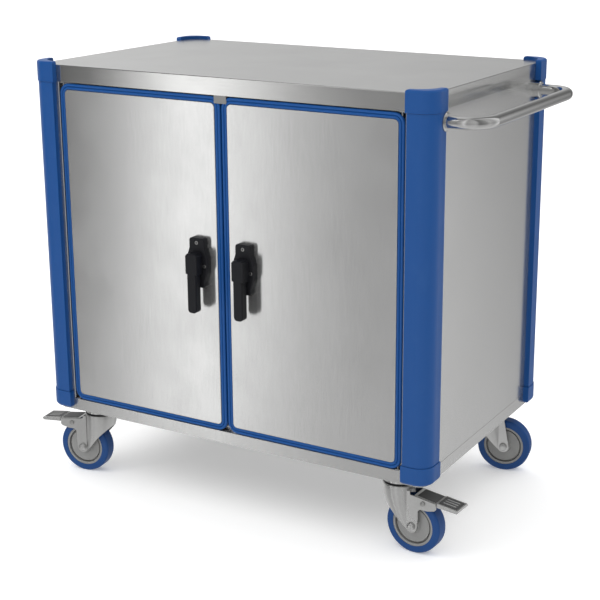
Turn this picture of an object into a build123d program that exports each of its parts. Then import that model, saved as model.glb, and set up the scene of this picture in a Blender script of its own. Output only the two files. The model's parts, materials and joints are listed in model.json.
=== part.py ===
from build123d import *
import os

os.makedirs("parts", exist_ok=True)

# Driving sizes, in millimetres.
# The cart faces -Y, the push handle stands on +X, and the floor is z = 0.

# Sheet steel cabinet
bodyWidth = 950.0
bodyDepth = 580.0
bodyHeight = 801.0
baseHeight = 168.0
sheet = 1.5
bodyCornerRadius = 21.0
worktopSheet = 2.0
worktopCornerRadius = 45.0
worktopArris = 2.6
lipHeight = 37.5
baseRim = 27.4
seamGap = 1.4
runnerWidth = 118.0
runnerSheet = 3.0
lipReturn = 22.0
frameDepth = 16.0
frameLanding = 26.0
frameGap = 1.4
frameBend = 1.6
rearFlange = 45.0
railReturn = 32.0
shelfThickness = 24.0
shelfHem = 15.0
shelfLevel = 402.0
shelfClearance = 4.0
shelfFrontGap = 54.0
shelfRearGap = 10.0
bracketLength = 90.0
bracketLeg = 24.0
bracketHeight = 30.0
bracketInset = 70.0
backInset = 25.0
floorUpstand = 12.0
upstandShort = 26.0

# Doors
gasketReveal = 54.0
gasketBottomGap = 0.8
gasketTopGap = 2.5
gasketWidth = 13.6
gasketValley = 3.0
gasketBulb = 8.8
gasketLip = 5.4
gasketNotch = 0.5
gasketSeat = 0.4
centreGap = 3.0
doorPanelRadius = 10.0
doorPanelDepth = 14.0
doorEdgeRadius = 1.2
doorReturn = 15.0
linerSheet = 1.2
linerEdge = 1.0
linerInset = 21.0
linerLatchInset = 60.0
linerDepth = 23.0
linerRadius = 12.0
linerBevel = 1.4
hingePinRadius = 2.0
hingePinReach = 4.0
hingeLeaf = 2.0
hingeLeafWidth = 5.6
hingeLeafLength = 30.0
hingeArm = 1.8
hingeArmWidth = 14.0
hingeBackset = 4.0
hingeInsetX = 8.0
hingeInsetY = 5.6
hingeHole = 0.5
runningClearance = 0.05
postWidth = 50.0
postChannel = 20.0
postDepth = 10.0
tabWidth = 30.0
tabHeight = 14.0
tabSheet = 1.5

# Swing handles on the doors
handleOffset = 58.0
handleHeight = 410.0
plateWidth = 38.0
plateHeight = 108.0
plateThickness = 15.0
platePivotDrop = 50.0
plateLobe = 7.0
plateLobeTop = 8.0
plateLobeLow = 24.0
plateTaper = 20.0
plateCorner = 6.0
plateEdge = 2.5
plateHole = 9.0
leverLength = 110.0
leverHubWidth = 30.0
leverHubHeight = 45.0
leverHubTop = 20.0
leverHubBevel = 5.0
leverWidth = 22.0
leverEndRadius = 8.0
leverThickness = 18.0
leverStandOff = 38.0
leverEdge = 3.0
leverLift = 0.5
spindleRadius = 7.0
camLength = 44.0
camBoss = 9.5
camWidth = 18.0
camCorner = 6.0
camThickness = 4.0
camGap = 0.6

# Corner bumpers
bumperLeg = 45.0
bumperProud = 12.0
bumperOuterRadius = 33.0
bumperSkin = 3.0
capLeg = 48.0
capRise = 7.0
capProud = 1.5
capSeam = 0.6
capEdge = 5.0
capBottomHeight = 40.0
capBottomLift = 5.0
capBottomEdge = 9.0
capGap = 0.3

# Push handle
tubeRadius = 12.7
tubeWall = 1.5
handleReach = 88.0
handleDrop = 58.0
handleSpan = 490.0
handleBend = 48.0
flangeRadius = 18.5
flangeProud = 3.0
flangeEdge = 2.0
flangeGap = 0.5

# Casters
wheelGap = 25.0
wheelWidth = 32.0
tyreThickness = 15.5
tyreCrown = 5.0
hubLength = 38.0
hubBossRadius = 15.0
hubRimWall = 5.0
hubRimDepth = 1.0
hubGroove = 8.0
hubGrooveWidth = 4.0
hubDish = 2.5
swivelInsetX = 81.0
swivelInsetY = 54.0
trail = 40.0
casterPlate = 4.0
casterPlateLength = 105.0
casterPlateWidth = 80.0
casterPlateCorner = 8.0
raceRadius = 34.0
raceNeck = 27.0
raceGap = 1.0
kingpinRadius = 8.0
kingpinHead = 13.0
kingpinHeadHeight = 4.0
kingpinGap = 0.5
crownDrop = 18.0
crownRadius = 37.0
crownSkirt = 9.0
crownShoulder = 2.6
forkSheet = 3.2
forkInner = 20.0
forkBoss = 13.5
forkCrease = 9.0
forkRise = 78.5
# Fork edges beside the axle, as lengths away from it and above it
forkBrow = [(10.8, -8.1), (27.0, 9.0), (45.0, 30.0), (63.0, 48.0), (74.5, 62.0), (77.0, 72.0)]
forkArm = [(13.5, 0.0), (15.5, 20.0), (15.5, 43.0), (38.0, 43.5), (54.0, 47.5), (57.0, 51.0),
           (57.0, 63.5), (-3.0, 71.0), (-3.0, 78.5)]
forkArmBend = 8.0
forkPlainBack = [(13.5, 0.0), (7.0, 36.0), (1.0, 68.0), (-3.0, 78.5)]
forkArmEnd = 57.0
forkBulge = 50.0
forkBulgeReach = 31.0
axleRadius = 6.0
axleHead = 9.0
axleHeadHeight = 5.0
axleHeadBevel = 1.6
pedalPivotX = 27.0
pedalPivotZ = 57.5
pedalPin = 3.5
pedalPinHead = 5.5
pedalPinReach = 2.0
pedalSheet = 2.8
pedalSide = 0.4
# Pedal outlines, as lengths behind the axle and above it
pedalEar = [(6.0, 71.5), (57.5, 65.0), (57.5, 57.0), (42.0, 49.0), (20.0, 49.0), (6.0, 64.0)]
pedalNeck = [(52.0, 65.7), (62.0, 64.4), (62.0, 59.0), (52.0, 60.3)]
pedalStep = [(59.5, 65.8), (106.5, 60.5), (108.5, 57.5), (105.0, 53.5), (59.5, 56.5)]
pedalStepWidth = 44.0
shoeGap = 3.5
shoeThick = 4.0
shoeStart = 47.0
shoeEnd = 57.0
cutOverrun = 2.0
quarterTurn = 90.0

# Headings of the trailing wheels, in degrees from +X
headings = {"front_left": 188.0, "front_right": -3.0, "rear_left": 172.0, "rear_right": 11.0}

# Levels and planes that follow from the sizes above
frontPlane = -bodyDepth / 2
rearPlane = bodyDepth / 2
sidePlane = bodyWidth / 2
worktopLevel = baseHeight + bodyHeight
lipLevel = worktopLevel - lipHeight
rimLevel = baseHeight + baseRim
gasketTop = lipLevel - gasketTopGap
gasketBottom = rimLevel + gasketBottomGap
gasketOuterX = sidePlane - gasketReveal
doorTop = gasketTop - gasketWidth
doorBottom = gasketBottom + gasketWidth
doorOuterX = gasketOuterX - gasketWidth
doorInnerX = centreGap / 2 + gasketWidth
doorWidth = doorOuterX - doorInnerX
doorHeight = doorTop - doorBottom
doorCentreX = (doorOuterX + doorInnerX) / 2
doorCentreZ = (doorTop + doorBottom) / 2
landingPlane = frontPlane + frameDepth
jambX = gasketOuterX + frameGap
landingEndX = jambX - frameLanding
hingeX = gasketOuterX - hingeInsetX
hingeY = frontPlane + hingeInsetY
handleLevel = baseHeight + handleHeight
shelfTop = baseHeight + shelfLevel
crownLevel = baseHeight - crownDrop
backWidth = bodyWidth - 2 * backInset
wheelRadius = (crownLevel - wheelGap) / 2
shoeRadius = wheelRadius + shoeGap
forkStretch = (crownLevel - crownSkirt - wheelRadius) / forkRise
pedalPivot = (trail + pedalPivotX, wheelRadius + pedalPivotZ * forkStretch)
barLevel = worktopLevel - handleDrop
barSpanY = handleSpan / 2


def slab(x0, x1, y0, y1, z0, z1):
    """A block between two corners."""
    block = Box(x1 - x0, y1 - y0, z1 - z0)
    return Pos((x0 + x1) / 2, (y0 + y1) / 2, (z0 + z1) / 2) * block


def plate(width, depth, radius, z0, z1):
    """A level plate with round corners about the centre line."""
    outline = RectangleRounded(width, depth, radius)
    return Pos(0, 0, z0) * extrude(outline, amount=z1 - z0)


def facing(sketch, y, depth):
    """A sketch stood up facing the front at y, and carried back by the depth."""
    return extrude(Pos(0, y, 0) * (Rot(90, 0, 0) * sketch), amount=-depth)


def drum(radius, x, y, z0, z1):
    """An upright cylinder between two levels."""
    return Pos(x, y, (z0 + z1) / 2) * Cylinder(radius, z1 - z0)


def barrel(radius, x, z, y0, y1):
    """A cylinder lying along Y."""
    return Pos(x, (y0 + y1) / 2, z) * (Rot(90, 0, 0) * Cylinder(radius, y1 - y0))


def group(pieces):
    """Separate solids of one kind, kept as one part."""
    return Compound([solid for piece in pieces for solid in piece.solids()])


def flip_x(shape):
    return mirror(shape, about=Plane.YZ)


def flip_y(shape):
    return mirror(shape, about=Plane.XZ)


# Cabinet shell
def make_worktop():
    top = plate(bodyWidth, bodyDepth, worktopCornerRadius, lipLevel, worktopLevel)
    top = fillet(top.faces().sort_by(Axis.Z)[-1].edges(), worktopArris)
    inner = 2 * worktopSheet
    hollow = plate(bodyWidth - inner, bodyDepth - inner, worktopCornerRadius - worktopSheet,
                   lipLevel + sheet, worktopLevel - worktopSheet)
    mouth = plate(bodyWidth - 2 * lipReturn, bodyDepth - 2 * lipReturn,
                  worktopCornerRadius - lipReturn, lipLevel - cutOverrun, worktopLevel - lipHeight / 2)
    return top - hollow - mouth


def make_side_panel():
    path = FilletPolyline(
        (landingEndX, landingPlane),
        (jambX, landingPlane),
        (jambX, frontPlane),
        (sidePlane, frontPlane),
        (sidePlane, rearPlane),
        (sidePlane - rearFlange, rearPlane),
        radius=(frameBend, frameBend, bodyCornerRadius, bodyCornerRadius),
    )
    section = make_face(offset(path, amount=sheet, side=Side.LEFT))
    low = rimLevel + seamGap
    return Pos(0, 0, low) * extrude(section, amount=lipLevel - low)


def make_back_panel():
    inside = rearPlane - sheet
    return slab(-backWidth / 2, backWidth / 2, inside - sheet, inside, rimLevel, lipLevel)


def make_base_pan():
    tray = plate(bodyWidth, bodyDepth, bodyCornerRadius, baseHeight, rimLevel)
    tray = fillet(tray.faces().sort_by(Axis.Z)[-1].edges(), sheet)
    cavity = plate(bodyWidth - 2 * sheet, bodyDepth - 2 * sheet, bodyCornerRadius - sheet,
                   baseHeight - cutOverrun, rimLevel - sheet)
    tray = tray - cavity
    wall = sidePlane - sheet
    span = rearPlane - upstandShort
    top = rimLevel + floorUpstand
    side = slab(wall - sheet, wall, -span, span, rimLevel, top)
    backWall = rearPlane - 2 * sheet
    reach = backWidth / 2
    rear = slab(-reach, reach, backWall - sheet, backWall, rimLevel, top)
    front = slab(-landingEndX, landingEndX, landingPlane, landingPlane + sheet,
                 rimLevel, rimLevel + frameLanding)
    return tray + side + flip_x(side) + rear + front


def make_base_runners():
    axis = sidePlane - swivelInsetX
    half = runnerWidth / 2
    reach = rearPlane - sheet
    roof = rimLevel - sheet
    left, right = axis - half, axis + half
    runner = slab(left, right, -reach, reach, baseHeight, baseHeight + runnerSheet)
    runner += slab(left, left + runnerSheet, -reach, reach, baseHeight, roof)
    # The outer web stops short of the round corners of the tray.
    web = reach - bodyCornerRadius
    runner += slab(right - runnerSheet, right, -web, web, baseHeight, roof)
    return group([runner, flip_x(runner)])


def make_top_rail():
    low = lipLevel - gasketTopGap - frameLanding
    rail = slab(-landingEndX, landingEndX, landingPlane, landingPlane + sheet, low, lipLevel)
    rail += slab(-landingEndX, landingEndX, landingPlane, landingPlane + railReturn,
                 lipLevel - sheet, lipLevel)
    return rail


def make_centre_post():
    low = rimLevel + frameLanding
    high = lipLevel - gasketTopGap - frameLanding
    half = postWidth / 2
    channel = postChannel / 2
    face = landingPlane + sheet
    rear = face + postDepth
    stiffener = slab(-channel, channel, face, rear, low, high)
    stiffener -= slab(sheet - channel, channel - sheet, face - cutOverrun, rear - sheet,
                      low - cutOverrun, high + cutOverrun)
    return slab(-half, half, landingPlane, face, low, high) + stiffener


def make_centre_tab():
    half = tabWidth / 2
    top = lipLevel
    low = lipLevel - gasketTopGap - tabHeight
    front = frontPlane + tabSheet
    tab = slab(-half, half, frontPlane, front, low, top - tabSheet)
    tab += slab(-half, half, frontPlane, landingPlane, top - tabSheet, top)
    return fillet(tab.edges().filter_by(Axis.Y).group_by(Axis.Z)[0], sheet)


def make_shelf():
    wall = sidePlane - sheet
    half = wall - shelfClearance
    front = frontPlane + shelfFrontGap
    rear = rearPlane - 2 * sheet - shelfRearGap
    low = shelfTop - shelfThickness
    tray = slab(-half, half, front, rear, low, shelfTop)
    tray = fillet(tray.faces().sort_by(Axis.Z)[-1].edges(), sheet)
    tray -= slab(sheet - half, half - sheet, front + sheet, rear - sheet,
                 low + sheet, shelfTop - sheet)
    hem = shelfHem
    return tray - slab(hem - half, half - hem, front + hem, rear - hem,
                       low - cutOverrun, low + 2 * sheet)


def make_shelf_brackets():
    wall = sidePlane - sheet
    low = shelfTop - shelfThickness
    start = rearPlane - bracketInset - bracketLength
    leg = slab(wall - bracketLeg, wall, start, start + bracketLength, low - sheet, low)
    web = slab(wall - sheet, wall, start, start + bracketLength, low - bracketHeight, low)
    bracket = leg + web
    right = [bracket, flip_y(bracket)]
    return group(right + [flip_x(item) for item in right])


# Doors, built for the right side
def door_outline(grow, radius):
    """The door's rounded outline, grown outwards by the given amount."""
    outline = RectangleRounded(doorWidth + 2 * grow, doorHeight + 2 * grow, radius)
    return Pos(doorCentreX, doorCentreZ) * outline


def make_door_skin():
    skin = facing(door_outline(0, doorPanelRadius), frontPlane, doorPanelDepth)
    skin = fillet(skin.faces().sort_by(Axis.Y)[0].edges(), doorEdgeRadius)
    hollow = facing(door_outline(-sheet, doorPanelRadius - sheet), frontPlane + sheet,
                    doorPanelDepth - 2 * sheet)
    mouth = facing(door_outline(-doorReturn, doorEdgeRadius), frontPlane + doorPanelDepth / 2,
                   doorPanelDepth)
    bore = barrel(plateHole, handleOffset, handleLevel, frontPlane - cutOverrun,
                  frontPlane + doorPanelDepth)
    return skin - hollow - mouth - bore


def make_door_liner():
    seat = frontPlane + doorPanelDepth
    cover = facing(door_outline(-linerEdge, doorPanelRadius - linerEdge), seat, linerSheet)
    left = doorInnerX + linerLatchInset
    right = doorOuterX - linerInset
    width = right - left
    height = doorHeight - 2 * linerInset
    middle = Pos((left + right) / 2, doorCentreZ)
    raised = facing(middle * RectangleRounded(width, height, linerRadius), seat, linerDepth)
    raised = chamfer(raised.faces().sort_by(Axis.Y)[-1].edges(), linerBevel)
    inner = 2 * linerSheet
    hollow = facing(
        middle * RectangleRounded(width - inner, height - inner, linerRadius - linerSheet),
        seat - cutOverrun, linerDepth + cutOverrun - linerSheet)
    bore = barrel(plateHole, handleOffset, handleLevel, frontPlane, landingPlane)
    return cover + raised - hollow - bore


def make_gasket():
    # The section runs outwards from the door edge and back from the door's front.
    half = gasketWidth / 2
    quarter = half / 2
    low = gasketValley
    outer = gasketWidth - low
    tail = frameDepth - gasketSeat
    inner_ridge = Edge.make_three_point_arc((0, low), (quarter, 0), (half, low))
    outer_ridge = Edge.make_three_point_arc((half, low), (half + quarter, 0), (gasketWidth, low))
    root = Polyline((gasketWidth, low), (gasketWidth, gasketBulb - low), (outer, gasketBulb),
                    (gasketLip, gasketBulb), (gasketLip, tail), (0, tail), (0, low))
    section = make_face([inner_ridge, outer_ridge, root])
    # Straight runs and quarter turns follow the door's outline.
    turn_radius = doorPanelRadius
    run_x = doorWidth - 2 * turn_radius
    run_z = doorHeight - 2 * turn_radius
    upright = Pos(doorWidth / 2, 0, -run_z / 2) * extrude(section, amount=run_z)
    level = Rot(0, -90, 0) * (Pos(doorHeight / 2, 0, -run_x / 2) * extrude(section, amount=run_x))
    bend = revolve(Pos(turn_radius, 0) * section, Axis.Y, -quarterTurn)
    bend = Pos(run_x / 2, 0, run_z / 2) * bend
    half_ring = upright + level + bend + flip_x(bend)
    ring = half_ring + Rot(0, 2 * quarterTurn, 0) * half_ring
    gasket = Pos(doorCentreX, frontPlane, doorCentreZ) * ring
    corner = slab(0, doorInnerX + gasketNotch, frontPlane - cutOverrun, landingPlane,
                  doorTop - gasketNotch, gasketTop + cutOverrun)
    gasket -= corner
    for leaf in make_hinge_leaves().solids():
        gasket -= leaf
    for level in (gasketTop, gasketBottom):
        gasket -= drum(hingePinRadius + hingeHole, hingeX, hingeY,
                       level - gasketWidth - hingePinReach, level + gasketWidth + hingePinReach)
    return gasket


def make_hinge_leaves():
    leaves = []
    for low in (doorTop, doorBottom - hingeLeaf):
        half = hingeLeafWidth / 2
        top = low + hingeLeaf
        leaf = slab(hingeX - hingeLeafLength, hingeX, hingeY - half, hingeY + half, low, top)
        leaf += drum(half, hingeX, hingeY, low, top)
        leaf -= drum(hingePinRadius + runningClearance, hingeX, hingeY, low - cutOverrun,
                     top + cutOverrun)
        leaves.append(leaf)
    return group(leaves)


def make_hinge_brackets():
    half = hingeArmWidth / 2
    brackets = []
    for arm, stop in ((lipLevel - hingeArm, doorTop - hingePinReach),
                      (rimLevel, doorBottom + hingePinReach)):
        bracket = slab(hingeX - hingeBackset, hingeX + half, hingeY - half / 2 - hingePinRadius / 2,
                       landingPlane, arm, arm + hingeArm)
        low, high = sorted((arm + hingeArm / 2, stop))
        bracket += drum(hingePinRadius, hingeX, hingeY, low, high)
        brackets += [bracket, flip_x(bracket)]
    return group(brackets)


# Swing handles, built for the right door
def make_latch_base():
    top = handleLevel + platePivotDrop
    low = top - plateHeight
    half = plateWidth / 2
    face = frontPlane - plateThickness
    lobe = half + plateLobe
    lobe_top = handleLevel + plateLobeTop
    lobe_low = handleLevel - plateLobeLow
    right = [(half, top), (half, lobe_top + plateTaper), (lobe, lobe_top), (lobe, lobe_low),
             (half, lobe_low - plateTaper), (half, low)]
    left = [(-x, z) for x, z in reversed(right)]
    outline = Polyline(*right, *left, close=True)
    block = Pos(handleOffset, 0, 0) * facing(make_face(outline), face, plateThickness)
    block = fillet(block.edges().filter_by(Axis.Y), plateCorner)
    block = fillet(block.faces().sort_by(Axis.Y)[0].edges(), plateEdge)
    return block - barrel(spindleRadius + runningClearance, handleOffset, handleLevel,
                          face - cutOverrun, frontPlane + cutOverrun)


def make_lever():
    face = frontPlane - leverStandOff
    under = frontPlane - plateThickness - leverLift
    half = leverHubWidth / 2
    top = leverHubTop
    hub = Polyline((-half, top - leverHubBevel), (leverHubBevel - half, top),
                   (half - leverHubBevel, top), (half, top - leverHubBevel),
                   (half, top - leverHubHeight), (-half, top - leverHubHeight),
                   (-half, top - leverHubBevel))
    lever = facing(make_face(hub), face, under - face)
    arm = Pos(0, -leverLength / 2) * Rectangle(leverWidth, leverLength)
    arm = fillet(arm.vertices().group_by(Axis.Y)[0], leverEndRadius)
    lever += facing(arm, face, leverThickness)
    lever = fillet(lever.faces().sort_by(Axis.Y)[0].edges(), leverEdge)
    spindle = landingPlane + sheet + camGap + camThickness
    lever += barrel(spindleRadius, 0, 0, under - leverLift, spindle)
    return Pos(handleOffset, 0, handleLevel) * lever


def make_cam():
    face = landingPlane + sheet + camGap
    blade = Pos(-camLength / 2, 0) * Rectangle(camLength, camWidth)
    blade = fillet(blade.vertices().group_by(Axis.X)[0], camCorner)
    blade += Circle(camBoss)
    blade -= Circle(spindleRadius)
    return Pos(handleOffset, 0, handleLevel) * facing(blade, face, camThickness)


# Corner guards, built for the front right corner
def corner_outline(leg, inner_radius, gap, extra=0):
    """Plan of a guard that wraps the front right corner."""
    proud = bumperProud + extra
    span = leg + proud
    outer = RectangleRounded(bodyWidth + 2 * proud, bodyDepth + 2 * proud, bumperOuterRadius + extra)
    inner = RectangleRounded(bodyWidth + 2 * gap, bodyDepth + 2 * gap, inner_radius + gap)
    window = Pos(sidePlane + proud - span / 2, frontPlane - proud + span / 2)
    return (outer - inner) & (window * Rectangle(span, span))


def make_bumper():
    low = baseHeight + capBottomLift + capBottomHeight + capSeam
    height = lipLevel - capSeam - low
    plan = corner_outline(bumperLeg, bodyCornerRadius, 0)
    post = Pos(0, 0, low) * extrude(plan, amount=height)
    hollow = corner_outline(bumperLeg - bumperSkin, bodyCornerRadius, bumperSkin)
    shell = RectangleRounded(bodyWidth + 2 * (bumperProud - bumperSkin),
                             bodyDepth + 2 * (bumperProud - bumperSkin),
                             bumperOuterRadius - bumperSkin)
    hollow = hollow & shell
    post -= Pos(0, 0, low - cutOverrun) * extrude(hollow, amount=height + 2 * cutOverrun)
    return post


def notch_for_flange(post):
    reach = flangeRadius + flangeGap
    bore = Pos(sidePlane, -barSpanY, barLevel) * (Rot(0, 90, 0) * Cylinder(reach, 4 * bumperProud))
    return post - bore


def make_top_cap():
    plan = corner_outline(capLeg, worktopCornerRadius, capGap, capProud)
    cap = Pos(0, 0, lipLevel) * extrude(plan, amount=lipHeight + capRise)
    return fillet(outer_edges(cap, -1), capEdge)


def make_bottom_cap():
    low = baseHeight + capBottomLift
    plan = corner_outline(capLeg, bodyCornerRadius, 0, capProud)
    cap = Pos(0, 0, low) * extrude(plan, amount=capBottomHeight)
    return fillet(outer_edges(cap, 0), capBottomEdge)


def outer_edges(cap, end):
    """The rim edges of a guard's end face that lie on its outside."""
    rim = cap.edges().group_by(Axis.Z)[end]
    keep = []
    for edge in rim:
        middle = edge @ 0.5
        out_x = middle.X > sidePlane + bumperProud / 2
        out_y = middle.Y < frontPlane - bumperProud / 2
        if out_x or out_y:
            keep.append(edge)
    return keep


# Push handle
def make_push_handle():
    out = sidePlane + handleReach
    y = barSpanY
    path = FilletPolyline((sidePlane, -y, barLevel), (out, -y, barLevel), (out, y, barLevel),
                          (sidePlane, y, barLevel), radius=handleBend)
    mouth = Plane(origin=path @ 0, z_dir=path % 0)
    tube = Circle(tubeRadius) - Circle(tubeRadius - tubeWall)
    return sweep(mouth * tube, path=path)


def make_flanges():
    length = bumperProud + flangeProud
    ring = Cylinder(flangeRadius, length)
    ring = chamfer(ring.edges().group_by(Axis.Z)[-1], flangeEdge)
    ring -= Cylinder(tubeRadius, 2 * length)
    ring = Rot(0, 90, 0) * ring
    x = sidePlane + length / 2
    return group([Pos(x, y, barLevel) * ring for y in (-barSpanY, barSpanY)])


# Casters, built trailing along +X with the swivel axis through x = 0, y = 0
def make_caster_plate():
    top = plate(casterPlateLength, casterPlateWidth, casterPlateCorner,
                baseHeight - casterPlate, baseHeight)
    high = baseHeight - casterPlate
    low = crownLevel + raceGap
    step = (high - low) / 3
    race = Polyline((0, high), (raceRadius, high), (raceRadius, low + step),
                    (raceNeck, low), (0, low), (0, high))
    top += revolve(Plane.XZ * make_face(race), Axis.Z)
    under = crownLevel - forkSheet - kingpinGap
    top += drum(kingpinRadius, 0, 0, under - kingpinHeadHeight, low)
    top += drum(kingpinHead, 0, 0, under - kingpinHeadHeight, under)
    return top


def fork_shell(inset):
    """Round front of a fork, tapering from the crown ring down to the leg."""
    half = forkInner + forkSheet - inset
    ring = crownRadius - inset
    spread = (ring ** 2 - half ** 2) ** 0.5
    crease = trail - forkCrease
    rest = Polyline((spread, half), (crease, half), (crease, -half), (spread, -half))
    sections = []
    for tip, level in ((-ring, crownLevel - crownSkirt), (inset - forkBulgeReach, wheelRadius + forkBulge * forkStretch),
                       (spread - half, wheelRadius - forkBoss)):
        nose = ThreePointArc((spread, -half), (tip, 0), (spread, half))
        sections.append(Pos(0, 0, level) * make_face([nose, rest]))
    return loft(sections)


def fork_side(braked):
    """Side outline of a fork, with a brake arm where it is braked."""
    x, z = trail, wheelRadius
    lip = crownLevel - crownSkirt
    brow = [(x - back, z + rise * forkStretch) for back, rise in forkBrow]
    rear = [(x + out, z + rise * forkStretch) for out, rise in (forkArm if braked else forkPlainBack)]
    boss = ThreePointArc(rear[0], (x, z - forkBoss), brow[0])
    edge = Spline(*brow)
    closing = Polyline(brow[-1], (-crownRadius, lip), *reversed(rear))
    outline = make_face([boss, edge, closing])
    if braked:
        out, rise = forkArm[2]
        corner = outline.vertices().sort_by_distance((x + out, z + rise * forkStretch))[0]
        outline = fillet(corner, forkArmBend)
    return outline


def make_fork(braked):
    half = forkInner + forkSheet
    crease = trail - forkCrease
    reach = trail + forkArmEnd + cutOverrun
    lip = crownLevel - crownSkirt
    shell = fork_shell(0) - fork_shell(forkSheet)
    cheek = slab(crease, reach, forkInner, half, 0, lip)
    side = facing(fork_side(braked), -crownRadius, 2 * crownRadius)
    fork = (shell + cheek + flip_y(cheek)) & side
    crown = drum(crownRadius, 0, 0, lip, crownLevel)
    crown = fillet(crown.edges().group_by(Axis.Z)[-1], crownShoulder)
    crown -= drum(crownRadius - forkSheet, 0, 0, lip - cutOverrun, crownLevel - forkSheet)
    crown -= drum(kingpinRadius + runningClearance, 0, 0, lip, crownLevel + cutOverrun)
    fork += crown
    fork -= barrel(axleRadius, trail, wheelRadius, -crownRadius, crownRadius)
    if braked:
        fork -= barrel(pedalPin + runningClearance, *pedalPivot, -crownRadius, crownRadius)
    return fork


def make_axle():
    half = forkInner + forkSheet
    axle = barrel(axleRadius, trail, wheelRadius, -half, half)
    head = Cylinder(axleHead, axleHeadHeight)
    head = chamfer(head.edges().group_by(Axis.Z)[-1], axleHeadBevel)
    head = Pos(trail, 0, wheelRadius) * (Rot(90, 0, 0) * (Pos(0, 0, half + axleHeadHeight / 2) * head))
    return axle + head + flip_y(head)


def make_hub():
    side = wheelWidth / 2
    rim = wheelRadius - tyreThickness
    face = side - hubRimDepth
    groove = face - hubGroove
    disc = face - hubDish
    inner = rim - hubRimWall
    profile = Polyline(
        (axleRadius + runningClearance, 0), (axleRadius + runningClearance, hubLength / 2),
        (hubBossRadius, hubLength / 2), (hubBossRadius + hubDish, disc),
        (inner - hubGrooveWidth, disc), (inner - hubGrooveWidth, groove), (inner, groove),
        (inner, face), (rim, face), (rim, 0), (axleRadius + runningClearance, 0))
    half = revolve(Plane.XY * make_face(profile), Axis.Y)
    hub = half + flip_y(half)
    return Pos(trail, 0, wheelRadius) * hub


def make_tyre():
    middle = wheelRadius - tyreThickness / 2
    section = Pos(middle, 0) * Rectangle(tyreThickness, wheelWidth)
    section = fillet(section.vertices().group_by(Axis.X)[-1], tyreCrown)
    return Pos(trail, 0, wheelRadius) * revolve(section, Axis.Y)


# Brake pedals
def behind_axle(points):
    """Outline points of a pedal in the plane of its wheel."""
    return [(trail + out, wheelRadius + rise * forkStretch) for out, rise in points]


def make_pedal():
    x, z = trail, wheelRadius
    half = forkInner - pedalSide
    ear = make_face(Polyline(*behind_axle(pedalEar), close=True))
    frame = facing(ear, -half, 2 * half)
    back, front = behind_axle(pedalEar[:2])
    room = make_face(Polyline((back[0], back[1] - pedalSheet), (front[0], front[1] - pedalSheet),
                              (front[0], z), (back[0], z), close=True))
    frame -= facing(room, pedalSheet - half, 2 * (half - pedalSheet))
    step = make_face(Polyline(*behind_axle(pedalStep), close=True))
    tread = facing(step, -pedalStepWidth / 2, pedalStepWidth)
    tread = fillet(tread.edges().filter_by(Axis.Y).group_by(Axis.X)[-1], pedalSheet / 2)
    neck = make_face(Polyline(*behind_axle(pedalNeck), close=True))
    pedal = frame + tread + facing(neck, -half, 2 * half)
    sweep_angle = shoeEnd - shoeStart
    arc = CenterArc((0, 0), shoeRadius, shoeStart, sweep_angle)
    over = CenterArc((0, 0), shoeRadius + shoeThick, shoeStart, sweep_angle)
    shoe = make_face([arc, over, Line(arc @ 0, over @ 0), Line(arc @ 1, over @ 1)])
    pedal += facing(Pos(x, z) * shoe, -half, 2 * half)
    outside = forkInner + forkSheet + pedalSide
    pin = barrel(pedalPin, *pedalPivot, half - pedalSheet, outside + pedalPinReach)
    pin += barrel(pedalPinHead, *pedalPivot, outside, outside + pedalPinReach)
    return pedal + pin + flip_y(pin)


# Assembly
def at_corner(corner):
    """The place of a swivel axis."""
    end, side = corner.split("_")
    x = (sidePlane - swivelInsetX) * (1 if side == "right" else -1)
    y = (rearPlane - swivelInsetY) * (1 if end == "rear" else -1)
    return Pos(x, y, 0)


def stand(piece, corner):
    """Turns a caster piece to its heading and stands it at its corner of the base."""
    return at_corner(corner) * (Rot(0, 0, headings[corner]) * piece)


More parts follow.
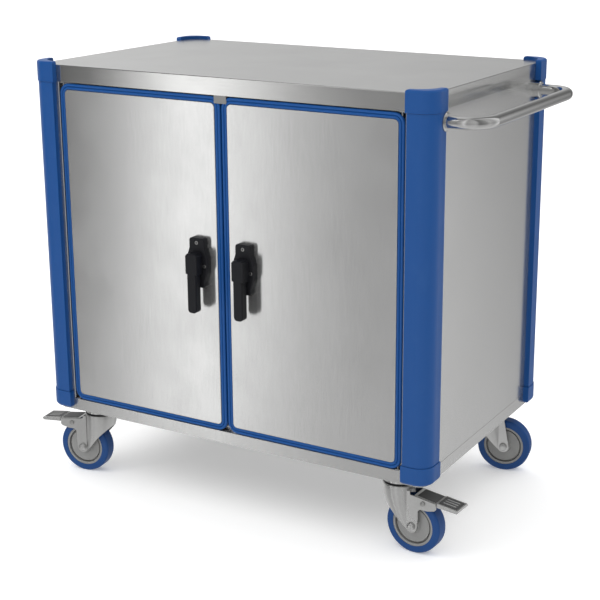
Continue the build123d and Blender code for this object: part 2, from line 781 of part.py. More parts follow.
def build_parts():
    parts = {
        "worktop": make_worktop(),
        "back_panel": make_back_panel(),
        "base_pan": make_base_pan(),
        "base_runners": make_base_runners(),
        "top_rail": make_top_rail(),
        "centre_post": make_centre_post(),
        "centre_tab": make_centre_tab(),
        "shelf": make_shelf(),
        "shelf_brackets": make_shelf_brackets(),
        "hinge_brackets": make_hinge_brackets(),
        "push_handle": make_push_handle(),
        "handle_flanges": make_flanges(),
    }
    panel = make_side_panel()
    parts["side_panel_right"] = panel
    parts["side_panel_left"] = flip_x(panel)
    post, top_cap, bottom_cap = make_bumper(), make_top_cap(), make_bottom_cap()
    notched = notch_for_flange(post)
    parts["bumper_front_right"] = notched
    parts["bumper_rear_right"] = flip_y(notched)
    parts["bumper_front_left"] = flip_x(post)
    parts["bumper_rear_left"] = flip_x(flip_y(post))
    for name, cap in (("top_cap", top_cap), ("bottom_cap", bottom_cap)):
        parts[name + "_front_right"] = cap
        parts[name + "_rear_right"] = flip_y(cap)
        parts[name + "_front_left"] = flip_x(cap)
        parts[name + "_rear_left"] = flip_x(flip_y(cap))
    door = {
        "door_skin": make_door_skin(),
        "door_liner": make_door_liner(),
        "door_gasket": make_gasket(),
        "door_hinge_leaves": make_hinge_leaves(),
        "latch_cam": make_cam(),
    }
    for name, piece in door.items():
        parts[name + "_right"] = piece
        parts[name + "_left"] = flip_x(piece)
    across = Pos(-2 * handleOffset, 0, 0)
    for name, piece in (("latch_base", make_latch_base()), ("lever", make_lever())):
        parts[name + "_right"] = piece
        parts[name + "_left"] = across * piece
    hub, tyre, axle = make_hub(), make_tyre(), make_axle()
    forks = {"front": make_fork(True), "rear": make_fork(False)}
    pedal = make_pedal()
    plate_and_race = make_caster_plate()
    for corner in headings:
        end = corner.split("_")[0]
        parts["fork_" + corner] = stand(forks[end], corner)
        parts["axle_" + corner] = stand(axle, corner)
        parts["wheel_hub_" + corner] = stand(hub, corner)
        parts["tyre_" + corner] = stand(tyre, corner)
        if end == "front":
            parts["brake_pedal_" + corner] = stand(pedal, corner)
    parts["caster_plates"] = group([at_corner(corner) * plate_and_race for corner in headings])
    return parts


def main():
    parts = build_parts()
    # The origin lies on the floor under the middle of the overall size.
    boxes = [piece.bounding_box() for piece in parts.values()]
    middle_x = (min(box.min.X for box in boxes) + max(box.max.X for box in boxes)) / 2
    middle_y = (min(box.min.Y for box in boxes) + max(box.max.Y for box in boxes)) / 2
    for name, piece in parts.items():
        export_step(Pos(-middle_x, -middle_y, 0) * piece, os.path.join("parts", name + ".step"))
    print(len(parts), "parts, moved by", round(-middle_x, 3), round(-middle_y, 3))


main()
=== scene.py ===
import bmesh
import bpy
import json
from math import cos, pi, radians, sin
from mathutils import Matrix, Vector


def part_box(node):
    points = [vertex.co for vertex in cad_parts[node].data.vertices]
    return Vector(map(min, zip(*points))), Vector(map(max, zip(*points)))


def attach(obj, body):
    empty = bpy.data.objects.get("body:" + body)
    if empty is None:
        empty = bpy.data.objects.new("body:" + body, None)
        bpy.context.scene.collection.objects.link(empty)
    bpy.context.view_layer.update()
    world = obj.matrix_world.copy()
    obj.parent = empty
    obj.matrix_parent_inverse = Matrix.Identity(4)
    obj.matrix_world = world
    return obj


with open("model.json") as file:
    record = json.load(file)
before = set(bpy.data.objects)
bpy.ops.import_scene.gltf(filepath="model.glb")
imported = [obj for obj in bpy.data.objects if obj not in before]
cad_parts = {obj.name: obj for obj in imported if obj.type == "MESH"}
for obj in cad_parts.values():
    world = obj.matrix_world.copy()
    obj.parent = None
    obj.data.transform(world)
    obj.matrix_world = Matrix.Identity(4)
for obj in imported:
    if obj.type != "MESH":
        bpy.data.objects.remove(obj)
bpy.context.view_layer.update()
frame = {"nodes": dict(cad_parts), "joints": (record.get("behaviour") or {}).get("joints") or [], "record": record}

mm = 0.001  # The scene is in metres, and small pieces are given in millimetres.
sides = ("left", "right")
frontCorners = ("front_left", "front_right")
corners = frontCorners + ("rear_left", "rear_right")
joints = {joint["name"]: joint for joint in frame["joints"]}


# Shader node groups that the materials share. Each material sets all the inputs.
def startGroup(name, inputs, outputs):
    group = bpy.data.node_groups.new(name, "ShaderNodeTree")
    for direction, socketShade in (("INPUT", inputs), ("OUTPUT", outputs)):
        for label, kind in socketShade:
            group.interface.new_socket(name=label, in_out=direction, socket_type=kind)
    return group, group.nodes.new("NodeGroupInput"), group.nodes.new("NodeGroupOutput")


def noiseNode(nodes, detail, roughness):
    noise = nodes.new("ShaderNodeTexNoise")
    noise.inputs["Detail"].default_value = detail
    noise.inputs["Roughness"].default_value = roughness
    return noise


def bumpNode(nodes, distance):
    bump = nodes.new("ShaderNodeBump")
    bump.inputs["Distance"].default_value = distance
    return bump


# Rolled sheet: fine grain along one direction, over a slow faint wave
sheetEffect = {
    "grainDetail": 2.0, "grainRoughness": 0.6, "grainBump": 0.008 * mm,
    "waveDetail": 0.0, "waveRoughness": 0.5, "waveBump": 0.7 * mm,
    "smearScale": 9.0, "smearDetail": 2.0, "smearRoughness": 0.5,
}


def makeSheetGroup():
    group, source, sink = startGroup(
        "sheetGrain",
        [("Grain scale", "NodeSocketVector"), ("Grain depth", "NodeSocketFloat"),
         ("Wave scale", "NodeSocketFloat"), ("Wave depth", "NodeSocketFloat")],
        [("Tone", "NodeSocketFloat"), ("Smear", "NodeSocketFloat"), ("Normal", "NodeSocketVector")])
    nodes, link = group.nodes, group.links.new
    place = nodes.new("ShaderNodeTexCoord").outputs["Object"]

    stretch = nodes.new("ShaderNodeVectorMath")
    stretch.operation = "MULTIPLY"
    link(place, stretch.inputs[0])
    link(source.outputs["Grain scale"], stretch.inputs[1])
    grain = noiseNode(nodes, sheetEffect["grainDetail"], sheetEffect["grainRoughness"])
    grain.inputs["Scale"].default_value = 1.0
    link(stretch.outputs[0], grain.inputs["Vector"])

    wave = noiseNode(nodes, sheetEffect["waveDetail"], sheetEffect["waveRoughness"])
    link(place, wave.inputs["Vector"])
    link(source.outputs["Wave scale"], wave.inputs["Scale"])

    smear = noiseNode(nodes, sheetEffect["smearDetail"], sheetEffect["smearRoughness"])
    smear.inputs["Scale"].default_value = sheetEffect["smearScale"]
    link(place, smear.inputs["Vector"])

    slow = bumpNode(nodes, sheetEffect["waveBump"])
    link(wave.outputs["Fac"], slow.inputs["Height"])
    link(source.outputs["Wave depth"], slow.inputs["Strength"])
    fine = bumpNode(nodes, sheetEffect["grainBump"])
    link(grain.outputs["Fac"], fine.inputs["Height"])
    link(source.outputs["Grain depth"], fine.inputs["Strength"])
    link(slow.outputs["Normal"], fine.inputs["Normal"])

    link(grain.outputs["Fac"], sink.inputs["Tone"])
    link(smear.outputs["Fac"], sink.inputs["Smear"])
    link(fine.outputs["Normal"], sink.inputs["Normal"])
    return group


# Moulded plastic and rubber: a fine skin, and sparse scuffs
skinEffect = {
    "skinDetail": 2.0, "skinRoughness": 0.5, "skinBump": 0.3 * mm,
    "patchScale": 22.0, "patchDetail": 5.0, "patchRoughness": 0.65,
    "scuffFrom": 0.52, "scuffFull": 0.72,
}


def makeSkinGroup():
    group, source, sink = startGroup(
        "mouldedSkin",
        [("Skin scale", "NodeSocketFloat"), ("Skin depth", "NodeSocketFloat"), ("Scuff amount", "NodeSocketFloat")],
        [("Worn", "NodeSocketFloat"), ("Sheen", "NodeSocketFloat"), ("Normal", "NodeSocketVector")])
    nodes, link = group.nodes, group.links.new
    place = nodes.new("ShaderNodeTexCoord").outputs["Object"]

    skin = noiseNode(nodes, skinEffect["skinDetail"], skinEffect["skinRoughness"])
    link(place, skin.inputs["Vector"])
    link(source.outputs["Skin scale"], skin.inputs["Scale"])

    patch = noiseNode(nodes, skinEffect["patchDetail"], skinEffect["patchRoughness"])
    patch.inputs["Scale"].default_value = skinEffect["patchScale"]
    link(place, patch.inputs["Vector"])
    shadeThick = nodes.new("ShaderNodeMapRange")
    shadeThick.interpolation_type = "SMOOTHSTEP"
    shadeThick.inputs["From Min"].default_value = skinEffect["scuffFrom"]
    shadeThick.inputs["From Max"].default_value = skinEffect["scuffFull"]
    link(patch.outputs["Fac"], shadeThick.inputs["Value"])
    worn = nodes.new("ShaderNodeMath")
    worn.operation = "MULTIPLY"
    link(shadeThick.outputs["Result"], worn.inputs[0])
    link(source.outputs["Scuff amount"], worn.inputs[1])

    bump = bumpNode(nodes, skinEffect["skinBump"])
    link(skin.outputs["Fac"], bump.inputs["Height"])
    link(source.outputs["Skin depth"], bump.inputs["Strength"])

    link(worn.outputs[0], sink.inputs["Worn"])
    link(patch.outputs["Fac"], sink.inputs["Sheen"])
    link(bump.outputs["Normal"], sink.inputs["Normal"])
    return group


sheetGroup = makeSheetGroup()
skinGroup = makeSkinGroup()
print("surface effects made")


def startMaterial(name, group):
    material = bpy.data.materials.new(name)
    material.use_nodes = True
    nodes = material.node_tree.nodes
    effect = nodes.new("ShaderNodeGroup")
    effect.node_tree = group
    return material, nodes["Principled BSDF"], effect


def blendColours(material, mask, first, second, target):
    nodes, link = material.node_tree.nodes, material.node_tree.links.new
    mix = nodes.new("ShaderNodeMix")
    mix.data_type = "RGBA"
    mix.inputs["A"].default_value = (*first, 1)
    mix.inputs["B"].default_value = (*second, 1)
    link(mask, mix.inputs["Factor"])
    link(mix.outputs["Result"], target)


# Noise values between which the roughness runs from low to high
noiseSpan = (0.3, 0.7)


def spreadRoughness(material, mask, low, high, target):
    nodes, link = material.node_tree.nodes, material.node_tree.links.new
    spread = nodes.new("ShaderNodeMapRange")
    spread.inputs["From Min"].default_value = noiseSpan[0]
    spread.inputs["From Max"].default_value = noiseSpan[1]
    spread.inputs["To Min"].default_value = low
    spread.inputs["To Max"].default_value = high
    link(mask, spread.inputs["Value"])
    link(spread.outputs["Result"], target)


# What all the steels share, and how far the sheets with an axis spread reflections along it
steelGrain = {"depth": 0.03, "waveScale": 5.0, "spread": 0.75}
steelLook = {
    "cabinet_steel": {
        "light": (0.65, 0.65, 0.645), "dark": (0.56, 0.56, 0.555), "rough": (0.2, 0.25),
        "grain": (420, 420, 26), "wave": 0.12, "metal": 0.9, "axis": "Z", "turn": 0.25},
    "worktop_steel": {
        "light": (0.65, 0.65, 0.64), "dark": (0.56, 0.56, 0.555), "rough": (0.15, 0.19),
        "grain": (26, 420, 420), "wave": 0.12, "metal": 0.95, "axis": "X", "turn": 0.0},
    "door_steel": {
        "light": (0.68, 0.68, 0.675), "dark": (0.59, 0.59, 0.585), "rough": (0.18, 0.22),
        "grain": (420, 420, 26), "wave": 0.12, "metal": 0.87, "axis": "Z", "turn": 0.25},
    "small_steel": {
        "light": (0.50, 0.50, 0.49), "dark": (0.42, 0.42, 0.415), "rough": (0.28, 0.4),
        "grain": (300, 300, 300), "wave": 0.03, "metal": 1.0},
    "polished_tube": {
        "light": (0.64, 0.64, 0.635), "dark": (0.58, 0.58, 0.575), "rough": (0.11, 0.16),
        "grain": (900, 60, 900), "wave": 0.03, "metal": 1.0},
    "zinc": {
        "light": (0.62, 0.62, 0.61), "dark": (0.54, 0.54, 0.535), "rough": (0.25, 0.32),
        "grain": (150, 150, 150), "wave": 0.03, "metal": 1.0},
}


def makeSteel(name, look):
    material, shader, effect = startMaterial(name, sheetGroup)
    shader.inputs["Metallic"].default_value = look["metal"]
    effect.inputs["Grain scale"].default_value = look["grain"]
    effect.inputs["Grain depth"].default_value = steelGrain["depth"]
    effect.inputs["Wave scale"].default_value = steelGrain["waveScale"]
    effect.inputs["Wave depth"].default_value = look["wave"]
    blendColours(material, effect.outputs["Tone"], look["dark"], look["light"], shader.inputs["Base Color"])
    spreadRoughness(material, effect.outputs["Smear"], *look["rough"], shader.inputs["Roughness"])
    material.node_tree.links.new(effect.outputs["Normal"], shader.inputs["Normal"])
    if "axis" in look:
        along = material.node_tree.nodes.new("ShaderNodeTangent")
        along.direction_type = "RADIAL"
        along.axis = look["axis"]
        material.node_tree.links.new(along.outputs["Tangent"], shader.inputs["Tangent"])
        shader.inputs["Anisotropic"].default_value = steelGrain["spread"]
        shader.inputs["Anisotropic Rotation"].default_value = look["turn"]
    return material


skinLook = {
    "blue_guard": {
        "colour": (0.005, 0.066, 0.25), "worn": (0.014, 0.086, 0.28), "rough": (0.32, 0.42),
        "skin": 900, "depth": 0.05, "scuff": 0.25, "specular": 0.32},
    "blue_seal": {
        "colour": (0.005, 0.072, 0.27), "worn": (0.014, 0.09, 0.29), "rough": (0.36, 0.5),
        "skin": 1400, "depth": 0.1, "scuff": 0.15, "specular": 0.3},
    "blue_tyre": {
        "colour": (0.004, 0.052, 0.20), "worn": (0.014, 0.072, 0.23), "rough": (0.4, 0.58),
        "skin": 1100, "depth": 0.14, "scuff": 0.35, "specular": 0.35},
    "hub_grey": {
        "colour": (0.26, 0.26, 0.255), "worn": (0.32, 0.32, 0.31), "rough": (0.38, 0.5),
        "skin": 800, "depth": 0.12, "scuff": 0.3, "specular": 0.4},
    "black_handle": {
        "colour": (0.008, 0.0085, 0.011), "worn": (0.014, 0.014, 0.016), "rough": (0.38, 0.5),
        "skin": 2200, "depth": 0.2, "scuff": 0.2, "specular": 0.3},
    "dark_pad": {
        "colour": (0.06, 0.06, 0.06), "worn": (0.10, 0.10, 0.095), "rough": (0.4, 0.55),
        "skin": 1500, "depth": 0.15, "scuff": 0.4, "specular": 0.4},
}


def makeSkin(name, look):
    material, shader, effect = startMaterial(name, skinGroup)
    shader.inputs["Specular IOR Level"].default_value = look["specular"]
    effect.inputs["Skin scale"].default_value = look["skin"]
    effect.inputs["Skin depth"].default_value = look["depth"]
    effect.inputs["Scuff amount"].default_value = look["scuff"]
    blendColours(material, effect.outputs["Worn"], look["colour"], look["worn"], shader.inputs["Base Color"])
    spreadRoughness(material, effect.outputs["Sheen"], *look["rough"], shader.inputs["Roughness"])
    material.node_tree.links.new(effect.outputs["Normal"], shader.inputs["Normal"])
    return material


materials = {name: makeSteel(name, look) for name, look in steelLook.items()}
materials.update({name: makeSkin(name, look) for name, look in skinLook.items()})

# Every solid takes the finish that its row in the record names.
for entry in frame["record"]["subparts"]:
    node = frame["nodes"][entry["node"]]
    node.data.materials.clear()
    node.data.materials.append(materials[entry["material_slot"]])
print("materials set on", len(frame["nodes"]), "nodes")


def joinRings(mesh, rings):
    # Faces between rings of equal count, with the last ring closed.
    for under, over in zip(rings, rings[1:]):
        for step in range(len(under)):
            after = (step + 1) % len(under)
            mesh.faces.new((under[step], under[after], over[after], over[step]))
    mesh.faces.new(rings[-1])


plainRound, hexagon = 0, 6  # Outlines of a turned shape, as counts of corners


def turned(mesh, profile, stand, segments=36):
    # A turned shape from rows of radius, height and outline.
    rings = []
    for radius, height, outline in profile:
        ring = []
        for step in range(segments):
            angle = 2 * pi * step / segments
            reach = radius
            if outline:
                wedge = pi / outline
                reach = radius * cos(wedge) / cos(angle % (2 * wedge) - wedge)
            ring.append(mesh.verts.new(stand @ Vector((reach * cos(angle), reach * sin(angle), height))))
        rings.append(ring)
    joinRings(mesh, rings)


def roundRows(rows):
    return [(radius, height, plainRound) for radius, height in rows]


def scaledRows(shares, radius, height):
    # Round rows from shares of a radius and a height.
    return roundRows([(radius * across, height * up) for across, up in shares])


def standing(origin, out):
    # Stands a piece at origin with its own Z pointing out.
    return Matrix.Translation(origin) @ Vector(out).to_track_quat("Z", "Y").to_matrix().to_4x4()


smoothBelow = radians(35)  # Edges that bend less are shaded smooth.


def finishPiece(name, mesh, body, slot, finish=None):
    data = bpy.data.meshes.new(name)
    mesh.to_mesh(data)
    mesh.free()
    data.polygons.foreach_set("use_smooth", [True] * len(data.polygons))
    data.set_sharp_from_angle(angle=smoothBelow)
    data.materials.append(materials[finish or slot])
    piece = bpy.data.objects.new(name, data)
    bpy.context.scene.collection.objects.link(piece)
    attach(piece, body)


# Hexagon heads on washers. The last row gives shares of the washer and of the head.
boltLook = {
    "head": 6.6 * mm, "height": 4.8 * mm, "washer": 8.2 * mm, "washerThick": 1.4 * mm,
    "washerEdge": 0.8, "washerTop": 0.96, "collar": 1.02, "crownStart": 0.9, "crownTop": 0.88,
}


def hexBolt(mesh, stand):
    washer, thick = boltLook["washer"], boltLook["washerThick"]
    head, top = boltLook["head"], thick + boltLook["height"]
    foot = roundRows([(washer, 0), (washer, thick * boltLook["washerEdge"]),
                      (washer * boltLook["washerTop"], thick), (head * boltLook["collar"], thick)])
    flats = [(head, thick, hexagon), (head, top * boltLook["crownStart"], hexagon)]
    turned(mesh, foot + flats + roundRows([(head * boltLook["crownTop"], top)]), stand)


# Blind rivets with a dimple on top: the profile is in shares of radius and height.
rivetLook = {
    "radius": 3.4 * mm, "height": 1.3 * mm, "segments": 24,
    "profile": [(1.0, 0.0), (0.97, 0.4), (0.75, 0.85), (0.4, 1.0), (0.33, 0.7)],
}


def blindRivet(mesh, stand):
    rows = scaledRows(rivetLook["profile"], rivetLook["radius"], rivetLook["height"])
    turned(mesh, rows, stand, rivetLook["segments"])


# Sunk screws of the handle plates, which the lever clears, with thin dark hexagons laid on the heads as painted shade
# for the sockets.
# Places are measured from the plate's top and middle.
screwLook = {
    "radius": 4.0 * mm, "proud": 0.35 * mm, "profile": [(1.0, 0.0), (0.97, 0.6), (0.85, 1.0)],
    "socket": 2.0 * mm, "socketTop": 0.95, "shadeThick": 0.04 * mm,
    "top": 10.0 * mm, "low": 59.5 * mm, "aside": 18.5 * mm,
}


def makeHandleScrews(side):
    low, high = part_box("latch_base_" + side)
    middle = (low.x + high.x) / 2
    proud, socket = screwLook["proud"], screwLook["socket"]
    heads, socketShade = bmesh.new(), bmesh.new()
    for across, drop in ((0, screwLook["top"]), (screwLook["aside"], screwLook["low"])):
        stand = standing((middle + across, low.y, high.z - drop), (0, -1, 0))
        turned(heads, scaledRows(screwLook["profile"], screwLook["radius"], proud) + roundRows([(socket, proud)]),
               stand)
        # Painted shade: a thin dark hexagon on the head stands for the shade inside the socket.
        turned(socketShade, [(socket, proud, hexagon),
                         (socket * screwLook["socketTop"], proud + screwLook["shadeThick"], hexagon)], stand)
    finishPiece("handle_socket_shade_" + side, socketShade, "door_" + side, "black_handle")
    finishPiece("handle_screws_" + side, heads, "door_" + side, "small_steel")


def makeCamNut(side):
    low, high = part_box("lever_" + side)
    camLow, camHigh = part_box("latch_cam_" + side)
    mesh = bmesh.new()
    hexBolt(mesh, standing(((low.x + high.x) / 2, high.y, (camLow.z + camHigh.z) / 2), (0, 1, 0)))
    finishPiece("cam_nut_" + side, mesh, "lever_" + side, "small_steel")


# Rivets down the back edge of each side panel
backRivets = {"pitch": 112.0 * mm, "inset": 17.0 * mm}


def makeBackRivets(side):
    low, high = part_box("side_panel_" + side)
    inset, pitch = backRivets["inset"], backRivets["pitch"]
    x = low.x + inset if side == "right" else high.x - inset
    mesh = bmesh.new()
    z = low.z + pitch / 2
    while z < high.z - inset:
        blindRivet(mesh, standing((x, high.y, z), (0, 1, 0)))
        z += pitch
    finishPiece("back_rivets_" + side, mesh, "cabinet", "cabinet_steel")


for side in sides:
    makeHandleScrews(side)
    makeCamNut(side)
    makeBackRivets(side)
print("handle screws, cam nuts and back rivets made")

# The swivel plates of the casters, and the bolts that hold them
plateLook = {"length": 105.0 * mm, "width": 80.0 * mm, "under": 164.0 * mm, "boltInset": 12.0 * mm}


def makeCasterBolts(corner):
    place = joints["swivel_" + corner]["pos_m"]
    across = plateLook["length"] / 2 - plateLook["boltInset"]
    along = plateLook["width"] / 2 - plateLook["boltInset"]
    mesh = bmesh.new()
    for x in (-across, across):
        for y in (-along, along):
            hexBolt(mesh, standing((place[0] + x, place[1] + y, plateLook["under"]), (0, 0, -1)))
    finishPiece("caster_bolts_" + corner, mesh, "cabinet", "zinc")


# Domed ends of axles and pins: the profile is in shares of radius and height.
domeProfile = [(1.0, 0.0), (0.8, 0.6), (0.45, 0.92), (0.1, 1.0)]
axleLook = {"reach": 28.2 * mm, "radius": 7.2 * mm, "height": 1.2 * mm}


def domePair(middle, axis, look):
    mesh = bmesh.new()
    rows = scaledRows(domeProfile, look["radius"], look["height"])
    for end in (-1, 1):
        turned(mesh, rows, standing(middle + axis * end * look["reach"], axis * end))
    return mesh


def makeAxleDomes(corner):
    spin = joints["wheel_spin_" + corner]
    mesh = domePair(Vector(spin["pos_m"]), Vector(spin["axis"]), axleLook)
    finishPiece("axle_domes_" + corner, mesh, "swivel_" + corner, "zinc")


# A polished cup round the ball race, over a black ring that gives a dark band beneath it; heights are above the
# floor.
raceLook = {
    "radius": 36.0 * mm, "low": 153.4 * mm, "bevel": 1.5 * mm,
    "darkRingRadius": 35.2 * mm, "darkRingLow": 150.7 * mm, "segments": 64,
}


def makeRaceRing(corner):
    place = joints["swivel_" + corner]["pos_m"]
    stand = Matrix.Translation((place[0], place[1], 0))
    radius, bevel, low, high = raceLook["radius"], raceLook["bevel"], raceLook["low"], plateLook["under"]
    darkRingRadius, darkRingLow = raceLook["darkRingRadius"], raceLook["darkRingLow"]
    ring, darkRing = bmesh.new(), bmesh.new()
    ringRows = roundRows([(radius - bevel * 2, low), (radius - bevel, low), (radius, low + bevel),
                          (radius, high - bevel), (radius - bevel, high)])
    darkRingRows = roundRows([(darkRingRadius - bevel, darkRingLow), (darkRingRadius, darkRingLow + bevel / 2), (darkRingRadius, low)])
    turned(ring, ringRows, stand, raceLook["segments"])
    turned(darkRing, darkRingRows, stand, raceLook["segments"])
    finishPiece("race_dark_ring_" + corner, darkRing, "cabinet", "black_handle")
    finishPiece("race_ring_" + corner, ring, "cabinet", "polished_tube")


for corner in corners:
    makeCasterBolts(corner)
    makeAxleDomes(corner)
    makeRaceRing(corner)
print("caster bolts, axle domes and race rings made")


def backDirection(corner):
    # The level direction from the swivel axis to the axle.
    swivel = Vector(joints["swivel_" + corner]["pos_m"])
    axle = Vector(joints["wheel_spin_" + corner]["pos_m"])
    return Vector((axle.x - swivel.x, axle.y - swivel.y, 0)).normalized()


def slopeStand(corner, start, end):
    # Stands a flat piece on a pedal: X down the slope from the middle, Y across, Z off the face.
    swivel = Vector(joints["swivel_" + corner]["pos_m"])
    back = backDirection(corner)
    middle = Vector((swivel.x, swivel.y, 0)) + back * (start[0] + end[0]) / 2
    middle.z = (start[1] + end[1]) / 2
    down = (back * (end[0] - start[0]) + Vector((0, 0, end[1] - start[1]))).normalized()
    across = Vector((0, 0, 1)).cross(down).normalized()
    return Matrix.Translation(middle) @ Matrix((down, across, down.cross(across))).transposed().to_4x4()


cornerSteps = 4  # Steps round each corner of a slab


def slabPiece(mesh, stand, length, width, corner, low, high, taper):
    # A flat slab with round corners whose top is drawn in by taper.
    rings = []
    for inset, height in ((0, low), (0, high - taper), (taper, high)):
        ring = []
        for turn, (x, y) in enumerate(((1, 1), (-1, 1), (-1, -1), (1, -1))):
            for step in range(cornerSteps + 1):
                angle = pi / 2 * (turn + step / cornerSteps)
                reach = corner - inset
                ring.append(mesh.verts.new(stand @ Vector((
                    x * (length / 2 - corner) + reach * cos(angle),
                    y * (width / 2 - corner) + reach * sin(angle), height))))
        rings.append(ring)
    joinRings(mesh, rings)


# Dark pads on the two plates of a pedal, and the ribs of the foot pad.
# Starts and ends are behind the swivel axis and above the floor.
footPad = {"start": (101.0 * mm, 128.0 * mm), "end": (143.5 * mm, 123.2 * mm), "width": 36.0 * mm,
           "thick": 0.7 * mm, "corner": 2.5 * mm}
releasePad = {"start": (52.0 * mm, 133.1 * mm), "end": (95.5 * mm, 127.7 * mm), "width": 36.0 * mm,
              "thick": 0.7 * mm, "corner": 2.0 * mm}
ribLook = {"count": 3, "pitch": 9.0 * mm, "width": 3.6 * mm, "top": 1.4 * mm, "inset": 6.5 * mm,
           "cornerShare": 0.45, "taperShare": 1 / 6}


def slopeLength(look):
    (startX, startZ), (endX, endZ) = look["start"], look["end"]
    return ((endX - startX) ** 2 + (endZ - startZ) ** 2) ** 0.5


def makePedalPads(corner):
    pads, ribs = bmesh.new(), bmesh.new()
    for look in (footPad, releasePad):
        slabPiece(pads, slopeStand(corner, look["start"], look["end"]), slopeLength(look), look["width"],
                  look["corner"], 0, look["thick"], look["thick"] / 2)
    stand = slopeStand(corner, footPad["start"], footPad["end"])
    length, width = slopeLength(footPad) - 2 * ribLook["inset"], ribLook["width"]
    for rib in range(ribLook["count"]):
        aside = (rib - (ribLook["count"] - 1) / 2) * ribLook["pitch"]
        slabPiece(ribs, stand @ Matrix.Translation((0, aside, 0)), length, width,
                  width * ribLook["cornerShare"], footPad["thick"], ribLook["top"], width * ribLook["taperShare"])
    finishPiece("pedal_pads_" + corner, pads, "pedal_" + corner, "hub_grey", "dark_pad")
    finishPiece("pedal_ribs_" + corner, ribs, "pedal_" + corner, "hub_grey")


# The pin that a pedal turns on: behind and above the axle
pinLook = {"back": 27.0 * mm, "rise": 57.5 * mm, "reach": 25.6 * mm, "radius": 5.0 * mm, "height": 1.5 * mm}


def makePinHeads(corner):
    spin = joints["wheel_spin_" + corner]
    pin = Vector(spin["pos_m"]) + backDirection(corner) * pinLook["back"]
    pin.z += pinLook["rise"]
    finishPiece("pin_heads_" + corner, domePair(pin, Vector(spin["axis"]), pinLook), "pedal_" + corner, "small_steel")


for corner in frontCorners:
    makePedalPads(corner)
    makePinHeads(corner)
print("pedal pads and pin heads made")

# A grub screw on the underside of each flange keeps the tube in.
grubLook = {"radius": 2.6 * mm, "socket": 1.5 * mm, "depth": 1.6 * mm, "proud": 0.4 * mm, "segments": 24}


def makeFlangeScrews():
    low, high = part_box("handle_flanges")
    radius, socket, depth, proud = (grubLook[name] for name in ("radius", "socket", "depth", "proud"))
    rows = roundRows([(radius, -depth), (radius, proud)]) + [(socket, proud, hexagon), (socket, -depth, hexagon)]
    flangeRadius = (high.z - low.z) / 2
    mesh = bmesh.new()
    for y in (low.y + flangeRadius, high.y - flangeRadius):
        turned(mesh, rows, standing(((low.x + high.x) / 2, y, low.z), (0, 0, -1)), grubLook["segments"])
    finishPiece("flange_screws", mesh, "cabinet", "small_steel")


# Rivets through the shelf's brackets: how far up, and how far in from each end
bracketRivets = {"sheet": 1.5 * mm, "up": 12.0 * mm, "insets": (15.0 * mm, 75.0 * mm)}


def makeBracketRivets():
    low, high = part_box("shelf_brackets")
    mesh = bmesh.new()
    for x, out in ((high.x - bracketRivets["sheet"], -1), (low.x + bracketRivets["sheet"], 1)):
        for inset in bracketRivets["insets"]:
            for y in (low.y + inset, high.y - inset):
                blindRivet(mesh, standing((x, y, low.z + bracketRivets["up"]), (out, 0, 0)))
    finishPiece("bracket_rivets", mesh, "cabinet", "small_steel")


makeFlangeScrews()
makeBracketRivets()
print("flange screws and bracket rivets made")

# The studio that the steel reflects: soft light and dark round the cart, and plain white for the camera
sky = {
    # Round the horizon: degrees from the front towards the left, and brightness
    "ring": [(-180, 0.26), (-166, 0.16), (-160, 0.30), (-152, 0.98), (-146, 0.90), (-120, 0.50), (-100, 0.60),
             (-84, 0.35), (-60, 0.22), (-44, 0.60), (-33, 0.55), (-12, 0.45), (0, 0.95), (12, 0.55), (22, 0.37),
             (28, 0.28), (31, 0.50), (33.2, 1.4), (35.2, 2.35), (36.8, 2.1), (38.4, 0.25), (39.8, 0.0), (48, 0.0),
             (62, 0.20), (84, 0.45), (100, 0.95), (126, 0.80), (140, 0.78), (150, 0.66), (165, 0.50), (180, 0.26)],
    # From nadir to zenith: sine of the elevation, and brightness
    "rise": [(-1.0, 1.25), (-0.45, 1.10), (-0.25, 1.0), (-0.12, 0.80), (0.03, 0.85), (0.25, 0.95), (0.5, 1.0),
             (0.7, 0.95), (1.0, 0.85)],
    # Even light off the floor: sine of the elevation, and the share that takes the ring's place
    "even": [(-1.0, 0.9), (-0.5, 0.72), (-0.4, 0.52), (-0.3, 0.2), (-0.15, 0.0)],
    "evenLevel": 0.56,
    "strength": 1.0,
}


def rampNode(nodes, stops):
    ramp = nodes.new("ShaderNodeValToRGB")
    ramp.color_ramp.interpolation = "EASE"
    elements = ramp.color_ramp.elements
    while len(elements) < len(stops):
        elements.new(0.5)
    for element, (place, value) in zip(elements, stops):
        element.position = place
        element.color = (value, value, value, 1)
    return ramp


def sineStops(stops):
    return [((sine + 1) / 2, value) for sine, value in stops]


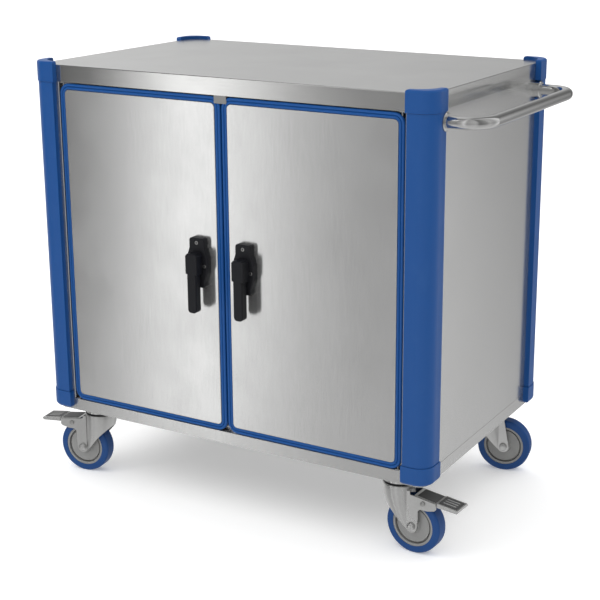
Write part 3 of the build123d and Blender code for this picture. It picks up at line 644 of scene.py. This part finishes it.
def makeWorld():
    world = bpy.data.worlds.new("studio")
    world.use_nodes = True
    bpy.context.scene.world = world
    nodes, link = world.node_tree.nodes, world.node_tree.links.new
    nodes.clear()
    place = nodes.new("ShaderNodeTexCoord").outputs["Generated"]

    # The bearing, counted from the front towards the left
    turnBack = nodes.new("ShaderNodeVectorMath")
    turnBack.operation = "SCALE"
    turnBack.inputs["Scale"].default_value = -1.0
    link(place, turnBack.inputs[0])
    back = nodes.new("ShaderNodeSeparateXYZ")
    link(turnBack.outputs[0], back.inputs[0])
    angle = nodes.new("ShaderNodeMath")
    angle.operation = "ARCTAN2"
    link(back.outputs["X"], angle.inputs[0])
    link(back.outputs["Y"], angle.inputs[1])
    bearing = nodes.new("ShaderNodeMapRange")
    bearing.inputs["From Min"].default_value = -pi
    bearing.inputs["From Max"].default_value = pi
    link(angle.outputs[0], bearing.inputs["Value"])
    ring = rampNode(nodes, [((degrees + 180) / 360, value) for degrees, value in sky["ring"]])
    link(bearing.outputs["Result"], ring.inputs["Fac"])

    # The sine of the elevation
    split = nodes.new("ShaderNodeSeparateXYZ")
    link(place, split.inputs[0])
    height = nodes.new("ShaderNodeMapRange")
    height.inputs["From Min"].default_value = -1.0
    link(split.outputs["Z"], height.inputs["Value"])
    rise = rampNode(nodes, sineStops(sky["rise"]))
    link(height.outputs["Result"], rise.inputs["Fac"])
    share = rampNode(nodes, sineStops(sky["even"]))
    link(height.outputs["Result"], share.inputs["Fac"])

    evened = nodes.new("ShaderNodeMix")
    evened.data_type = "RGBA"
    evened.inputs["B"].default_value = (*[sky["evenLevel"]] * 3, 1)
    link(share.outputs["Color"], evened.inputs["Factor"])
    link(ring.outputs["Color"], evened.inputs["A"])
    both = nodes.new("ShaderNodeMix")
    both.data_type = "RGBA"
    both.blend_type = "MULTIPLY"
    both.inputs["Factor"].default_value = 1.0
    link(evened.outputs["Result"], both.inputs["A"])
    link(rise.outputs["Color"], both.inputs["B"])

    light = nodes.new("ShaderNodeBackground")
    light.inputs["Strength"].default_value = sky["strength"]
    link(both.outputs["Result"], light.inputs["Color"])
    white = nodes.new("ShaderNodeBackground")
    white.inputs["Color"].default_value = (1, 1, 1, 1)
    seen = nodes.new("ShaderNodeLightPath")
    choose = nodes.new("ShaderNodeMixShader")
    link(seen.outputs["Is Camera Ray"], choose.inputs["Fac"])
    link(light.outputs[0], choose.inputs[1])
    link(white.outputs[0], choose.inputs[2])
    link(choose.outputs[0], nodes.new("ShaderNodeOutputWorld").inputs["Surface"])


floorLook = {"radius": 40.0, "segments": 96, "colour": (0.89, 0.89, 0.89), "glow": 0.24}


def makeFloor():
    mesh = bmesh.new()
    bmesh.ops.create_circle(mesh, cap_ends=True, segments=floorLook["segments"], radius=floorLook["radius"])
    data = bpy.data.meshes.new("floor")
    mesh.to_mesh(data)
    mesh.free()
    material = bpy.data.materials.new("floor")
    material.use_nodes = True
    shader = material.node_tree.nodes["Principled BSDF"]
    shader.inputs["Base Color"].default_value = (*floorLook["colour"], 1)
    shader.inputs["Roughness"].default_value = 1.0
    shader.inputs["Specular IOR Level"].default_value = 0.0
    shader.inputs["Emission Color"].default_value = (1, 1, 1, 1)
    shader.inputs["Emission Strength"].default_value = floorLook["glow"]
    data.materials.append(material)
    floor = bpy.data.objects.new("floor", data)
    floor.visible_glossy = False
    bpy.context.scene.collection.objects.link(floor)


# A soft key from the front left, and a very wide sun from above; its spread is an angle in radians.
lightLook = {
    "key": {"kind": "AREA", "place": (-2.6, -2.4, 3.4), "aim": (0.0, 0.0, 0.4), "size": 2.6, "power": 35.0},
    "overhead": {"kind": "SUN", "place": (0.0, 0.0, 4.6), "aim": (0.0, 0.0, 0.0), "spread": 1.9, "power": 2.3},
}


def makeLight(name, look):
    lamp = bpy.data.lights.new(name, look["kind"])
    if look["kind"] == "SUN":
        lamp.angle = look["spread"]
    else:
        lamp.shape = "DISK"
        lamp.size = look["size"]
    lamp.energy = look["power"]
    light = bpy.data.objects.new(name, lamp)
    light.location = look["place"]
    aim = Vector(look["aim"]) - Vector(look["place"])
    light.rotation_euler = aim.to_track_quat("-Z", "Y").to_euler()
    light.visible_glossy = False
    bpy.context.scene.collection.objects.link(light)


# Turn is from the front towards the right, and dip is below level, both in degrees.
cameraLook = {
    "place": (1548.05 * mm, -2581.89 * mm, 1343.6 * mm), "turn": 29.222, "dip": 15.467,
    "focalPixels": 1367.36, "framePixels": 600, "sensor": 36.0, "shift": (-0.0628, -0.06), "farthest": 200.0,
}


def makeCamera():
    lens = bpy.data.cameras.new("camera")
    lens.sensor_width = cameraLook["sensor"]
    lens.lens = cameraLook["focalPixels"] / cameraLook["framePixels"] * cameraLook["sensor"]
    lens.shift_x, lens.shift_y = cameraLook["shift"]
    lens.clip_end = cameraLook["farthest"]
    seat = bpy.data.objects.new("camera", lens)
    seat.location = cameraLook["place"]
    seat.rotation_euler = (radians(90 - cameraLook["dip"]), 0, radians(cameraLook["turn"]))
    bpy.context.scene.collection.objects.link(seat)
    bpy.context.scene.camera = seat


makeWorld()
makeFloor()
for name, look in lightLook.items():
    makeLight(name, look)
makeCamera()
bpy.context.scene.view_settings.view_transform = "Standard"
print("studio made")
